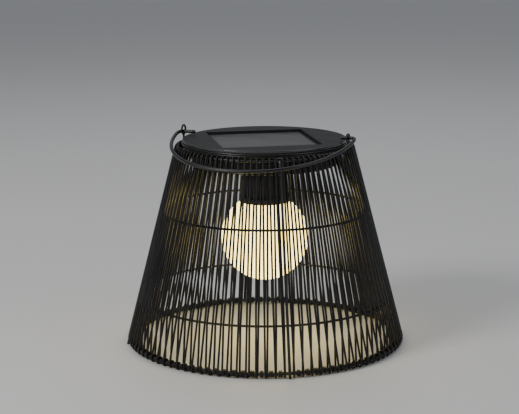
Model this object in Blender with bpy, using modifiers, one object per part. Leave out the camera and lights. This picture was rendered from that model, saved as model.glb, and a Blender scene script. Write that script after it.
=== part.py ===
"""Solar lantern: a conical wire frame wound with plastic cord, a folding wire
handle, and a solar lamp unit with a globe hanging inside the shade.

Frame: +Z up, origin on the ground at the lantern's axis, X along the handle's
pivot axis, the folded handle lying towards -Y.  Units are metres.
"""
import bpy
import bmesh
import math
from mathutils import Matrix, Vector

MM = 0.001

# ---------------------------------------------------------------- dimensions
CORD_R = 1.1            # cord radius
CORD_TURNS = 96         # turns of cord all round
TURNS_PER_RUN = 6       # turns in one run of cord
FIRST_TURN_DEG = 1.83   # first turn, measured from -Y towards +X
LEAN_OUT = 0.95         # how far an outer strand leans back going up
LEAN_TOP = 1.02         # and the cord over the top ring
LEAN_IN = 1.18          # and an inner strand going down

WIRE_R = 1.25           # ring and hoop wire radius
BASE_RING_Z = 4.2
BASE_OUTER_R = 145.2
BASE_INNER_R = 141.8
LOW_RING_Z, LOW_RING_R = 50.5, 133.0
MID_RING_Z, MID_RING_R = 143.0, 109.1
TOP_RING_Z = 210.3      # ring the cord turns over
TOP_OUTER_R = 92.1
SEAT_RING_Z = 213.6     # bare ring that carries the lid
SEAT_RING_R = 86.3

POST_COUNT = 4
POST_R = 1.5
POST_FIRST_DEG = 26.25
POST_FOOT_R = 149.55    # post axis at the ground
POST_SLOPE = 0.2582     # inward run per unit of height
POST_TOP_Z = 211.6
UPRIGHT_SPACE = 2.8     # cord centre to the centre of a post or eye stem

PIVOT_Z = 223.3         # handle pivot height
EYE_X = 91.0
EYE_WIRE_R = 1.05
EYE_TWIST_DEG = -10.0   # both loops stand a little askew
LEFT_EYE = (225.2, 4.98, 3.9)     # centre height, half height, half width
RIGHT_EYE = (223.7, 3.53, 3.7)
BAIL_R = 1.9
BAIL_HALF_W = 97.85     # half width of the bow
BAIL_DEPTH = 109.4
BAIL_EXP = 2.1          # roundness of the bow
BAIL_DROP_DEG = 11.15   # how far below level the folded handle lies
BAIL_SHIFT = 1.35       # sideways play taken up towards +X
BAIL_TIP_LEFT = -78.5   # inner ends of the pivot stubs
BAIL_TIP_RIGHT = 84.0

UNIT_ROT = 28.0         # solar unit turned in the top ring
LID_R = 88.2            # lip of the lid
LID_TOP_R = 87.2
LID_TOP = 219.7
LID_UNDER = 215.3
PANEL_X, PANEL_Y = 52.5, 53.8     # half sizes of the panel recess
PANEL_AT = (-1.88, -0.745)        # recess centre in the unit
RECESS_FLOOR = 214.0
WELL_UNDER = 212.7

HOUSING_R = 77.7
HOUSING_FLOOR = 193.0
NECK_R = 24.0
NECK_BOTTOM = 152.2
GLOBE_R = 46.7
GLOBE_Z = 113.0
GLOBE_MOUTH_Z = 151.4

MODEL = "solar_lantern"


# ------------------------------------------------------------------- helpers
for old in list(bpy.data.objects):
    bpy.data.objects.remove(old, do_unlink=True)

parts = bpy.data.collections.new(MODEL)
tools = bpy.data.collections.new(MODEL + "_cutters")
bpy.context.scene.collection.children.link(parts)
bpy.context.scene.collection.children.link(tools)


def material(name, rgb, rough, metal=0.0, glow=0.0):
    m = bpy.data.materials.new(name)
    m.use_nodes = True
    b = m.node_tree.nodes["Principled BSDF"]
    b.inputs["Base Color"].default_value = (*rgb, 1.0)
    b.inputs["Roughness"].default_value = rough
    b.inputs["Metallic"].default_value = metal
    if glow:
        b.inputs["Emission Color"].default_value = (*rgb, 1.0)
        b.inputs["Emission Strength"].default_value = glow
    m.diffuse_color = (*rgb, 1.0)
    return m


def place(obj, mat, cutter=False):
    (tools if cutter else parts).objects.link(obj)
    if cutter:
        obj.hide_render = True
        obj.display_type = 'WIRE'
    elif mat:
        obj.data.materials.append(mat)
    return obj


def mesh_object(name, bm, mat=None, cutter=False, smooth=True):
    me = bpy.data.meshes.new(name)
    bm.to_mesh(me)
    bm.free()
    obj = bpy.data.objects.new(name, me)
    if smooth:
        me.shade_smooth()
        me.set_sharp_from_angle(angle=math.radians(35))
    return place(obj, mat, cutter)


def block(name, size, centre, mat=None, cutter=False, rot=0.0, bevel=0.0):
    """Box of full size (x, y, z) in mm about a centre, turned about the axis."""
    bm = bmesh.new()
    bmesh.ops.create_cube(bm, size=1.0)
    bmesh.ops.scale(bm, vec=Vector(size) * MM, verts=bm.verts)
    if bevel:
        bmesh.ops.bevel(bm, geom=list(bm.edges), offset=bevel * MM, segments=1,
                        affect='EDGES')
    obj = mesh_object(name, bm, mat, cutter, smooth=False)
    obj.rotation_euler = (0, 0, math.radians(rot))
    obj.location = Matrix.Rotation(math.radians(rot), 3, 'Z') @ (Vector(centre) * MM)
    return obj


def rod(name, r, z0, z1, xy=(0, 0), mat=None, cutter=False, rot=0.0, sides=24, r_top=None):
    """Upright cylinder or cone between two heights."""
    bm = bmesh.new()
    bmesh.ops.create_cone(bm, cap_ends=True, segments=sides, radius1=r * MM,
                          radius2=(r if r_top is None else r_top) * MM,
                          depth=(z1 - z0) * MM)
    obj = mesh_object(name, bm, mat, cutter)
    v = Vector((xy[0], xy[1], (z0 + z1) / 2)) * MM
    obj.location = Matrix.Rotation(math.radians(rot), 3, 'Z') @ v
    obj.rotation_euler = (0, 0, math.radians(rot))
    return obj


def turned(name, profile, mat=None, closed=False, steps=48, cutter=False, rot=0.0, xy=(0, 0)):
    """Solid of revolution.  The profile runs down its outer side, (r, z) in mm."""
    bm = bmesh.new()
    vs = [bm.verts.new((r * MM, 0, z * MM)) for r, z in profile]
    for a, b in zip(vs, vs[1:]):
        bm.edges.new((a, b))
    if closed:
        bm.edges.new((vs[-1], vs[0]))
    obj = mesh_object(name, bm, mat, cutter, smooth=False)
    s = obj.modifiers.new("turn", 'SCREW')
    s.axis = 'Z'
    s.steps = s.render_steps = steps
    s.use_merge_vertices = True
    s.merge_threshold = 0.00001
    s.use_smooth_shade = False
    obj.location = Matrix.Rotation(math.radians(rot), 3, 'Z') @ Vector((xy[0] * MM, xy[1] * MM, 0))
    obj.rotation_euler = (0, 0, math.radians(rot))
    return obj


def ring(name, major, minor, z, mat, segments=48, sides=6, centre=(0, 0), cutter=False):
    bpy.ops.mesh.primitive_torus_add(major_segments=segments, minor_segments=sides,
                                     major_radius=major * MM, minor_radius=minor * MM,
                                     location=(centre[0] * MM, centre[1] * MM, z * MM))
    obj = bpy.context.object
    for c in list(obj.users_collection):
        c.objects.unlink(obj)
    obj.name = name
    obj.data.name = name
    obj.data.shade_smooth()
    return place(obj, mat, cutter)


def wire(name, points, radius, mat, sides_res=1):
    """Round wire along straight pieces between points given in mm."""
    cu = bpy.data.curves.new(name, 'CURVE')
    cu.dimensions = '3D'
    cu.bevel_depth = radius * MM
    cu.bevel_resolution = sides_res
    cu.use_fill_caps = True
    sp = cu.splines.new('POLY')
    sp.points.add(len(points) - 1)
    for p, q in zip(sp.points, points):
        p.co = (q[0] * MM, q[1] * MM, q[2] * MM, 1.0)
    return place(bpy.data.objects.new(name, cu), mat)


def boolean(obj, other, operation):
    m = obj.modifiers.new(operation.lower() + "_" + other.name, 'BOOLEAN')
    m.operation = operation
    m.solver = 'EXACT'
    m.object = other


def cut(obj, *cutters):
    for c in cutters:
        boolean(obj, c, 'DIFFERENCE')


def join(obj, *extras):
    for e in extras:
        boolean(obj, e, 'UNION')


def polar(r, deg, z):
    """Point at radius r, turned from -Y towards +X."""
    a = math.radians(deg)
    return (r * math.sin(a), -r * math.cos(a), z)


# ----------------------------------------------------------------- materials
FRAME = material("frame_paint", (0.018, 0.018, 0.02), 0.45, 0.3)
CORD = material("cord_plastic", (0.022, 0.022, 0.024), 0.5)
LID = material("lid_plastic", (0.035, 0.036, 0.04), 0.42)
INNER = material("housing_plastic", (0.03, 0.03, 0.032), 0.5)
CELL = material("solar_cell", (0.03, 0.035, 0.06), 0.3)
GLASS = material("panel_glass", (0.12, 0.13, 0.15), 0.12)
SEAL = material("seal_rubber", (0.02, 0.02, 0.02), 0.8)
STEEL = material("screw_steel", (0.55, 0.55, 0.56), 0.3, 1.0)
BOARD = material("circuit_board", (0.03, 0.16, 0.07), 0.5)
WHITE_BOARD = material("led_board_white", (0.8, 0.8, 0.78), 0.5)
CHIP = material("chip_plastic", (0.02, 0.02, 0.02), 0.5)
COPPER = material("coil_copper", (0.6, 0.3, 0.12), 0.35, 0.9)
CELL_WRAP = material("battery_wrap", (0.05, 0.25, 0.12), 0.35)
CONTACT = material("contact_nickel", (0.6, 0.58, 0.52), 0.3, 1.0)
RED = material("wire_red", (0.5, 0.02, 0.02), 0.45)
BLACK = material("wire_black", (0.02, 0.02, 0.02), 0.45)
LED = material("led_phosphor", (1.0, 0.85, 0.45), 0.4, glow=4.0)
GLOBE = material("globe_opal", (1.0, 0.94, 0.8), 0.35, glow=3.0)

# -------------------------------------------------------------- frame rings
ring("base_outer_ring", BASE_OUTER_R, WIRE_R, BASE_RING_Z, FRAME)
ring("base_inner_ring", BASE_INNER_R, WIRE_R, BASE_RING_Z, FRAME)
ring("lower_hoop", LOW_RING_R, WIRE_R, LOW_RING_Z, FRAME)
ring("upper_hoop", MID_RING_R, WIRE_R, MID_RING_Z, FRAME)
ring("top_outer_ring", TOP_OUTER_R, WIRE_R, TOP_RING_Z, FRAME)
ring("top_inner_ring", SEAT_RING_R, WIRE_R, SEAT_RING_Z, FRAME)

# Leaning posts outside the hoops: a round bar sheared inwards, so both ends
# stay level and the lower ends are the lantern's feet.
for i in range(POST_COUNT):
    deg = POST_FIRST_DEG + 360.0 / POST_COUNT * i
    bm = bmesh.new()
    bmesh.ops.create_cone(bm, cap_ends=True, segments=12, radius1=POST_R * MM,
                          radius2=POST_R * MM, depth=POST_TOP_Z * MM)
    bmesh.ops.translate(bm, vec=(0, 0, POST_TOP_Z / 2 * MM), verts=bm.verts)
    lean = Matrix.Identity(4)
    lean[1][2] = POST_SLOPE
    bmesh.ops.transform(bm, matrix=lean, verts=bm.verts)
    post = mesh_object("post_%d" % (i + 1), bm, FRAME)
    post.location = Vector(polar(POST_FOOT_R, deg, 0)) * MM
    post.rotation_euler = (0, 0, math.radians(deg))

# ------------------------------------------------------------- cord winding
# One turn goes up the outside, over the top ring, down between its own outer
# strand and the next, past both hoops, and under both base rings.
STEP_DEG = 360.0 / CORD_TURNS
POSTS_AT = [POST_FIRST_DEG + 360.0 / POST_COUNT * i for i in range(POST_COUNT)]
STEMS_AT = [90.0, 270.0]


def beside(deg, r, home, uprights):
    """Move a strand point aside where it would run into an upright."""
    for o in uprights:
        off = (deg - o + 180.0) % 360.0 - 180.0
        side = 1.0 if (home - o + 180.0) % 360.0 - 180.0 > 0 else -1.0
        need = math.degrees(UPRIGHT_SPACE / r)
        if abs(off) < 8.0 and off * side < need:
            deg += side * need - off
    return deg


def cord_turn(deg):
    land = deg - LEAN_OUT - LEAN_TOP - LEAN_IN
    down = deg - LEAN_OUT - LEAN_TOP
    z_in_top, z_in_base = TOP_RING_Z + 0.6, BASE_RING_Z - 0.6
    span = z_in_top - z_in_base
    at_mid = down - LEAN_IN * (z_in_top - MID_RING_Z) / span
    at_low = down - LEAN_IN * (z_in_top - LOW_RING_Z) / span
    r_up, r_down = TOP_OUTER_R + 3.1, TOP_OUTER_R - 3.1
    up = beside(deg - LEAN_OUT, r_up, deg, POSTS_AT)
    up = beside(up, r_up, deg, STEMS_AT)
    down = beside(down, r_down, land, POSTS_AT)
    down = beside(down, r_down, deg, STEMS_AT)
    r_mid, r_low = MID_RING_R + 2.75, LOW_RING_R + 2.75
    return [
        polar(BASE_OUTER_R + 1.2, deg, BASE_RING_Z - 2.7),
        polar(BASE_OUTER_R + 3.1, deg, BASE_RING_Z - 0.6),
        polar(r_up, up, TOP_RING_Z + 0.9),
        polar(TOP_OUTER_R + 1.2, up, TOP_RING_Z + 2.8),
        polar(TOP_OUTER_R - 1.2, down, TOP_RING_Z + 2.8),
        polar(r_down, down, z_in_top),
        polar(r_mid, beside(at_mid, r_mid, land, POSTS_AT), MID_RING_Z),
        polar(r_low, beside(at_low, r_low, land, POSTS_AT), LOW_RING_Z),
        polar(BASE_INNER_R - 3.1, land, z_in_base),
        polar(BASE_INNER_R - 1.2, land, BASE_RING_Z - 2.7),
    ]


for run in range(CORD_TURNS // TURNS_PER_RUN):
    pts = []
    for t in reversed(range(TURNS_PER_RUN)):
        pts += cord_turn(FIRST_TURN_DEG + STEP_DEG * (run * TURNS_PER_RUN + t))
    wire("cord_run_%02d" % (run + 1), pts, CORD_R, CORD, sides_res=0)

# ------------------------------------------------------------ handle and eyes
for side, name, (eye_z, half_h, half_w) in ((-1, "handle_eye_left", LEFT_EYE),
                                            (1, "handle_eye_right", RIGHT_EYE)):
    bm = bmesh.new()
    AROUND, SECTION = 20, 8
    loops = []
    for i in range(AROUND):
        t = 2 * math.pi * i / AROUND
        centre = Vector((0.0, half_w * math.cos(t), half_h * math.sin(t)))
        out = Vector((0.0, half_h * math.cos(t), half_w * math.sin(t))).normalized()
        loops.append([bm.verts.new((centre + EYE_WIRE_R * (math.cos(u) * out + math.sin(u) * Vector((1, 0, 0)))) * MM)
                      for u in (2 * math.pi * j / SECTION for j in range(SECTION))])
    for i in range(AROUND):
        one, two = loops[i], loops[(i + 1) % AROUND]
        for j in range(SECTION):
            k = (j + 1) % SECTION
            bm.faces.new((one[j], one[k], two[k], two[j]))
    bmesh.ops.recalc_face_normals(bm, faces=bm.faces)
    bmesh.ops.transform(bm, matrix=Matrix.Rotation(math.radians(EYE_TWIST_DEG), 4, 'Z'), verts=bm.verts)
    eye = mesh_object(name, bm, FRAME)
    eye.location = (side * EYE_X * MM, 0, eye_z * MM)
    stem = rod(name + "_stem", 1.15, TOP_RING_Z + WIRE_R + 0.35, eye_z - half_h,
               (side * EYE_X, 0), cutter=True, sides=10)
    join(eye, stem)

drop = math.radians(BAIL_DROP_DEG)


def bail_point(x, d):
    """Point in the handle's plane: x across, d out from the pivot axis."""
    return (x, -d * math.cos(drop), PIVOT_Z - d * math.sin(drop))


bow = []
BOW_POINTS = 34
for i in range(BOW_POINTS + 1):
    t = math.pi * i / BOW_POINTS
    c, s = math.cos(t), math.sin(t)
    e = 2.0 / BAIL_EXP
    x = -math.copysign(abs(c) ** e, c) * BAIL_HALF_W
    bow.append((x, BAIL_DEPTH * s ** e))
# each end turns inwards through its eye along the pivot axis
corner = 4.6
path = [(BAIL_TIP_LEFT - BAIL_SHIFT, 0.0), (-BAIL_HALF_W + corner, 0.0),
        (-BAIL_HALF_W + corner * 0.42, 0.9), (-BAIL_HALF_W + 0.7, 3.4)]
path += [p for p in bow if p[1] > 7.0]
path += [(-x, d) for x, d in reversed(path[1:4])] + [(BAIL_TIP_RIGHT - BAIL_SHIFT, 0.0)]
handle = wire("handle", [bail_point(x + BAIL_SHIFT, d) for x, d in path], BAIL_R, FRAME, 2)
# origin on the pivot axis
handle.location = (0, 0, PIVOT_Z * MM)
for p in handle.data.splines[0].points:
    p.co.z -= PIVOT_Z * MM

# ------------------------------------------------------------------ solar lid
lid = turned("lid", [(0, LID_TOP), (LID_TOP_R - 0.6, LID_TOP), (LID_TOP_R, LID_TOP - 0.6),
                     (LID_TOP_R - 0.3, LID_TOP - 2.4), (LID_TOP_R - 1.0, LID_TOP - 2.7),
                     (LID_TOP_R - 1.0, LID_TOP - 3.1), (LID_R - 0.4, LID_TOP - 3.3),
                     (LID_R, LID_TOP - 3.7), (LID_R, LID_UNDER + 0.3), (LID_R - 0.4, LID_UNDER),
                     (81.0, LID_UNDER), (81.0, 208.0),
                     (78.4, 208.0), (78.4, 217.4), (0, 217.4)], LID, steps=48, rot=UNIT_ROT)
PX, PY = PANEL_AT
well = block("lid_well_form", (2 * PANEL_X + 4.4, 2 * PANEL_Y + 4.4, LID_TOP - 1.0 - WELL_UNDER),
             (PX, PY, (LID_TOP - 1.0 + WELL_UNDER) / 2), cutter=True, rot=UNIT_ROT)
recess = block("lid_recess_form", (2 * PANEL_X, 2 * PANEL_Y, 10.0),
               (PX, PY, RECESS_FLOOR + 5.0), cutter=True, rot=UNIT_ROT)
join(lid, well)
BOSSES = [(0, -68.0), (68.0, 0), (0, 68.0), (-68.0, 0)]
for i, b in enumerate(BOSSES):
    join(lid, rod("lid_boss_form_%d" % i, 4.0, 206.2, 218.5, b, cutter=True, rot=UNIT_ROT, sides=10))
cut(lid, recess)
for i, b in enumerate(BOSSES):
    cut(lid, rod("lid_boss_hole_%d" % i, 1.8, 204.0, 216.6, b, cutter=True, rot=UNIT_ROT, sides=8))
cut(lid, rod("lid_wire_hole", 4.0, 210.0, 217.0, (0, 40.0), cutter=True, rot=UNIT_ROT, sides=10))

# panel stack in the recess: sealing frame, cell board, cover glass
seal = block("panel_seal", (2 * PANEL_X - 0.8, 2 * PANEL_Y - 0.8, 0.6), (PX, PY, 214.6), SEAL, rot=UNIT_ROT)
cut(seal, block("panel_seal_window", (2 * PANEL_X - 14, 2 * PANEL_Y - 14, 4), (PX, PY, 214.6),
                cutter=True, rot=UNIT_ROT))
block("solar_cell_board", (2 * PANEL_X - 0.8, 2 * PANEL_Y - 0.8, 0.8), (PX, PY, 215.6), CELL, rot=UNIT_ROT)
block("panel_glass", (2 * PANEL_X - 0.8, 2 * PANEL_Y - 0.8, 0.8), (PX, PY, 216.7), GLASS,
      rot=UNIT_ROT, bevel=0.15)

# -------------------------------------------------------------- lower housing
housing = turned("lamp_housing", [(HOUSING_R, 212.3), (HOUSING_R, 205.6), (81.0, 205.6),
                                  (81.0, 203.4), (HOUSING_R, 203.4), (HOUSING_R, HOUSING_FLOOR + 1.0),
                                  (HOUSING_R - 1.0, HOUSING_FLOOR), (0, HOUSING_FLOOR),
                                  (0, HOUSING_FLOOR + 2.0), (HOUSING_R - 2.0, HOUSING_FLOOR + 2.0),
                                  (HOUSING_R - 2.0, 212.3)], INNER, steps=40, rot=UNIT_ROT)
# the profile closes on its top rim
bm = bmesh.new()
bm.from_mesh(housing.data)
bm.verts.ensure_lookup_table()
bm.edges.new((bm.verts[len(bm.verts) - 1], bm.verts[0]))
bm.to_mesh(housing.data)
bm.free()
for i, b in enumerate(BOSSES):
    join(housing, rod("housing_post_form_%d" % i, 4.0, HOUSING_FLOOR + 0.5, 205.9, b,
                      cutter=True, rot=UNIT_ROT, sides=10))
for i, b in enumerate(BOSSES):
    cut(housing, rod("housing_post_hole_%d" % i, 1.8, 190.0, 208.0, b, cutter=True,
                     rot=UNIT_ROT, sides=8),
        rod("housing_head_recess_%d" % i, 3.15, 190.0, 195.6, b, cutter=True,
            rot=UNIT_ROT, sides=12))
BATT_Y = -43.0
BAY_X, BAY_Y = 57.0, 16.0
cut(housing, block("battery_opening", (BAY_X, BAY_Y, 8), (0, BATT_Y, 194), cutter=True, rot=UNIT_ROT))
SW_X, SW_Y = 46.0, 30.0
cut(housing, block("switch_opening", (10.0, 4.0, 8), (SW_X, SW_Y, 194), cutter=True, rot=UNIT_ROT))
cut(housing, rod("neck_opening", 15.3, 190, 198, cutter=True, rot=UNIT_ROT, sides=32))
# guide rails moulded under the floor carry the battery cover's long edges
for side, name in ((-1, "cover_rail_outer"), (1, "cover_rail_inner")):
    y = BATT_Y + side * 11.9
    join(housing, block(name, (60.0, 3.6, 4.0), (0, y, 191.6), cutter=True, rot=UNIT_ROT))
cut(housing, block("cover_rail_groove", (70.0, 22.8, 2.2), (0, BATT_Y, 191.9), cutter=True, rot=UNIT_ROT))

turned("housing_seal", [(80.6, 207.6), (80.6, 205.95), (78.8, 205.95), (78.8, 207.6)], SEAL,
       closed=True, steps=40, rot=UNIT_ROT)

for i, b in enumerate(BOSSES):
    s = turned("housing_screw_%d" % (i + 1), [(0, 213.5), (0.6, 213.0), (1.35, 212.0),
                                               (1.35, 195.3), (2.7, 195.3), (2.7, 193.9),
                                               (2.2, 193.3), (0, 193.3)], STEEL, steps=12,
               rot=UNIT_ROT, xy=b)
    cut(s, block("screw_slot_%d" % i, (3.4, 0.7, 1.6), (b[0], b[1], 193.4), cutter=True, rot=UNIT_ROT))

# ------------------------------------------------- battery bay under the floor
holder = block("battery_holder", (BAY_X + 3.0, BAY_Y + 3.0, 212.2 - 195.4),
               (0, BATT_Y, (212.2 + 195.4) / 2), INNER, rot=UNIT_ROT)
cut(holder, block("battery_holder_form", (BAY_X, BAY_Y, 212.2 - 195.4),
                  (0, BATT_Y, (212.2 + 195.4) / 2 - 1.5), cutter=True, rot=UNIT_ROT))
# rechargeable cell lying along the bay, with its raised cap
bm = bmesh.new()
profile = [(0, 24.9), (2.6, 24.9), (2.7, 23.6), (6.6, 23.6), (7.2, 22.9), (7.2, -23.6),
           (6.7, -24.2), (0, -24.2)]
vs = [bm.verts.new((r * MM, 0, z * MM)) for r, z in profile]
for a, b in zip(vs, vs[1:]):
    bm.edges.new((a, b))
battery = mesh_object("battery", bm, CELL_WRAP, smooth=False)
s = battery.modifiers.new("turn", 'SCREW')
s.steps = s.render_steps = 24
s.use_merge_vertices = True
s.merge_threshold = 0.00001
battery.rotation_euler = (0, math.radians(90), math.radians(UNIT_ROT))
BATT_Z = 202.6
battery.location = Matrix.Rotation(math.radians(UNIT_ROT), 3, 'Z') @ (Vector((0, BATT_Y, BATT_Z)) * MM)
block("battery_contact_plus", (0.5, 11.0, 12.0), (26.6, BATT_Y, BATT_Z), CONTACT, rot=UNIT_ROT)
# conical spring at the other pole
coil = []
TURNS = 3
for i in range(TURNS * 9 + 1):
    f = i / (TURNS * 9)
    a = 2 * math.pi * TURNS * f
    rr = 4.6 - 2.2 * f
    coil.append((-27.6 + 2.6 * f, BATT_Y + rr * math.cos(a), BATT_Z + rr * math.sin(a)))
spin = Matrix.Rotation(math.radians(UNIT_ROT), 3, 'Z')
wire("battery_spring", [tuple(spin @ Vector(p)) for p in coil], 0.32, CONTACT, 0)

cover = block("battery_cover", (66.0, 22.0, 1.5), (1.0, BATT_Y, 191.9), INNER, rot=UNIT_ROT, bevel=0.3)
for i in range(4):
    cut(cover, block("cover_grip_%d" % i, (0.9, 12.0, 1.2), (-22.0 + 2.4 * i, BATT_Y, 191.15),
                     cutter=True, rot=UNIT_ROT))

# --------------------------------------------------------------- slide switch
block("switch_body", (11.0, 6.0, 5.2), (SW_X, SW_Y, 198.0), CHIP, rot=UNIT_ROT)
knob = block("switch_slider", (4.0, 3.2, 4.6), (SW_X - 2.0, SW_Y, 192.7), CHIP, rot=UNIT_ROT, bevel=0.35)

# ------------------------------------------------------------ circuit board
block("control_board", (44.0, 24.0, 1.4), (-10.0, 46.0, 199.5), BOARD, rot=UNIT_ROT)
rod("charge_coil", 4.2, 200.5, 206.0, (0.0, 46.0), COPPER, rot=UNIT_ROT, sides=16)

# ------------------------------------------------------------- neck and lamp
turned("lamp_neck", [(15.0, 201.5), (15.0, 192.7), (NECK_R - 1.5, 192.7), (NECK_R, 191.2),
                     (NECK_R, NECK_BOTTOM), (22.0, NECK_BOTTOM), (22.0, 189.5), (12.0, 189.5),
                     (12.0, 201.5)], INNER, closed=True, steps=24)
turned("neck_nut", [(20.5, 199.2), (20.5, 195.35), (15.4, 195.35), (15.4, 199.2)], INNER,
       closed=True, steps=24)
turned("led_board", [(0, 168.0), (20.8, 168.0), (20.8, 166.4), (0, 166.4)], WHITE_BOARD, steps=24)
turned("led_lens", [(0, 166.1), (4.2, 166.1), (4.2, 164.6), (3.6, 162.6), (2.0, 161.2),
                    (0, 160.8)], LED, steps=16)

# bayonet ring and opal globe, which turn together
turned("globe_ring", [(27.0, 158.4), (27.6, 157.8), (27.6, 152.0), (24.4, 152.0), (24.4, 158.4)],
       INNER, closed=True, steps=24)
outer, inner = [], []
NECK_IN = 21.4
mouth = math.acos((GLOBE_MOUTH_Z - GLOBE_Z) / GLOBE_R)
COUNT = 10
for i in range(COUNT + 1):
    a = mouth + (math.pi - mouth) * i / COUNT
    outer.append((GLOBE_R * math.sin(a) if i < COUNT else 0.0, GLOBE_Z + GLOBE_R * math.cos(a)))
R2 = GLOBE_R - 1.6
mouth_in = math.asin((NECK_IN - 1.6) / R2)
for i in range(COUNT + 1):
    a = math.pi - (math.pi - mouth_in) * i / COUNT
    inner.append((R2 * math.sin(a) if i else 0.0, GLOBE_Z + R2 * math.cos(a)))
globe_profile = [(NECK_IN, 161.5), (NECK_IN, GLOBE_MOUTH_Z)] + outer
inner_profile = inner + [(NECK_IN - 1.6, 161.5)]
bm = bmesh.new()
first = [bm.verts.new((r * MM, 0, z * MM)) for r, z in globe_profile]
second = [bm.verts.new((r * MM, 0, z * MM)) for r, z in inner_profile]
for chain in (first, second):
    for a, b in zip(chain, chain[1:]):
        bm.edges.new((a, b))
bm.edges.new((second[-1], first[0]))
globe = mesh_object("globe", bm, GLOBE, smooth=False)
s = globe.modifiers.new("turn", 'SCREW')
s.steps = s.render_steps = 24
s.use_merge_vertices = True
s.merge_threshold = 0.00001

# -------------------------------------------------------------------- wiring
def lead(name, pts, mat):
    wire(name, [tuple(spin @ Vector(p)) for p in pts], 0.55, mat, 0)


lead("panel_lead_red", [(-1.2, 40.5, 214.7), (-1.2, 40.5, 209.5), (-4.5, 40.5, 204.5), (-8.0, 40.5, 201.0)], RED)
lead("panel_lead_black", [(1.2, 38.5, 214.7), (1.2, 38.5, 209.0), (-3.5, 37.5, 204.5), (-8.0, 37.0, 201.0)], BLACK)
lead("lamp_lead_red", [(-1.5, 6.0, 168.5), (-1.5, 6.0, 200.0), (-3.5, 10.0, 205.0), (-5.0, 24.0, 205.0),
                       (-6.0, 35.8, 203.5), (-6.0, 35.8, 200.6)], RED)
lead("lamp_lead_black", [(1.5, 6.0, 168.5), (1.5, 6.0, 200.0), (3.0, 10.0, 205.0), (4.5, 24.0, 205.0),
                         (4.5, 35.8, 203.5), (4.5, 35.8, 200.6)], BLACK)
lead("switch_lead", [(44.0, 33.6, 198.5), (40.0, 38.0, 199.0), (30.0, 44.0, 201.5), (16.0, 48.0, 203.0),
                     (9.0, 50.0, 201.5), (9.0, 50.0, 200.6)], BLACK)
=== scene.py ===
"""Looks of the solar lantern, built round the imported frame.  Metres, +Z up."""
import math
import bpy
import bmesh
import numpy as np
from mathutils import Matrix, Vector


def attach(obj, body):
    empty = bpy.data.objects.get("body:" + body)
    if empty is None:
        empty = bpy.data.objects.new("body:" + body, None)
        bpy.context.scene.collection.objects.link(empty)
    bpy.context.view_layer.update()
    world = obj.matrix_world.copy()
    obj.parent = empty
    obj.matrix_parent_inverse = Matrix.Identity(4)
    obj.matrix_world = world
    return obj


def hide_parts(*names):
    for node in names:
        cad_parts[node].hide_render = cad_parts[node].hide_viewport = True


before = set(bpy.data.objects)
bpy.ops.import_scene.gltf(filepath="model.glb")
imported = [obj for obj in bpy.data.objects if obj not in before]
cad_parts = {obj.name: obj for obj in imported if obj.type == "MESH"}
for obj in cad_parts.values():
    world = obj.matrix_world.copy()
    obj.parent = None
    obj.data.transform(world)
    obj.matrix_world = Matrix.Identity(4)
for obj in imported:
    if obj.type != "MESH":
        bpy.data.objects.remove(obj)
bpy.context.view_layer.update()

MM = 0.001
SHADE = "shade"
made = bpy.data.collections.new("lantern_looks")
bpy.context.scene.collection.children.link(made)

# ------------------------------------------------------------------ camera
# The view is fixed first: a 104 mm lens, 11.5 degrees down, from the front
# right of the handle's pivot line.
CAM_AZ = math.radians(16.87)
cam_data = bpy.data.cameras.new("camera")
cam_data.lens = 104.04
cam_data.sensor_width = 36.0
cam_data.sensor_fit = 'HORIZONTAL'
cam_data.clip_start = 0.05
cam_data.clip_end = 60.0
cam = bpy.data.objects.new("camera", cam_data)
bpy.context.scene.collection.objects.link(cam)
pitch, roll, yaw = math.radians(11.520), math.radians(-0.31), math.radians(-0.207)
fwd = Vector((math.sin(yaw) * math.cos(pitch), math.cos(yaw) * math.cos(pitch), -math.sin(pitch)))
right = fwd.cross(Vector((0, 0, 1))).normalized()
up = right.cross(fwd)
r2 = right * math.cos(roll) + up * math.sin(roll)
u2 = -right * math.sin(roll) + up * math.cos(roll)
turn = Matrix.Rotation(CAM_AZ, 3, 'Z')
r2, u2, f2 = turn @ r2, turn @ u2, turn @ fwd
eye = turn @ Vector((0, -1.57366, 0.46314 + 0.0025))
rot = Matrix((r2, u2, -f2)).transposed().to_4x4()
cam.matrix_world = Matrix.Translation(eye) @ rot
bpy.context.scene.camera = cam


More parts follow.
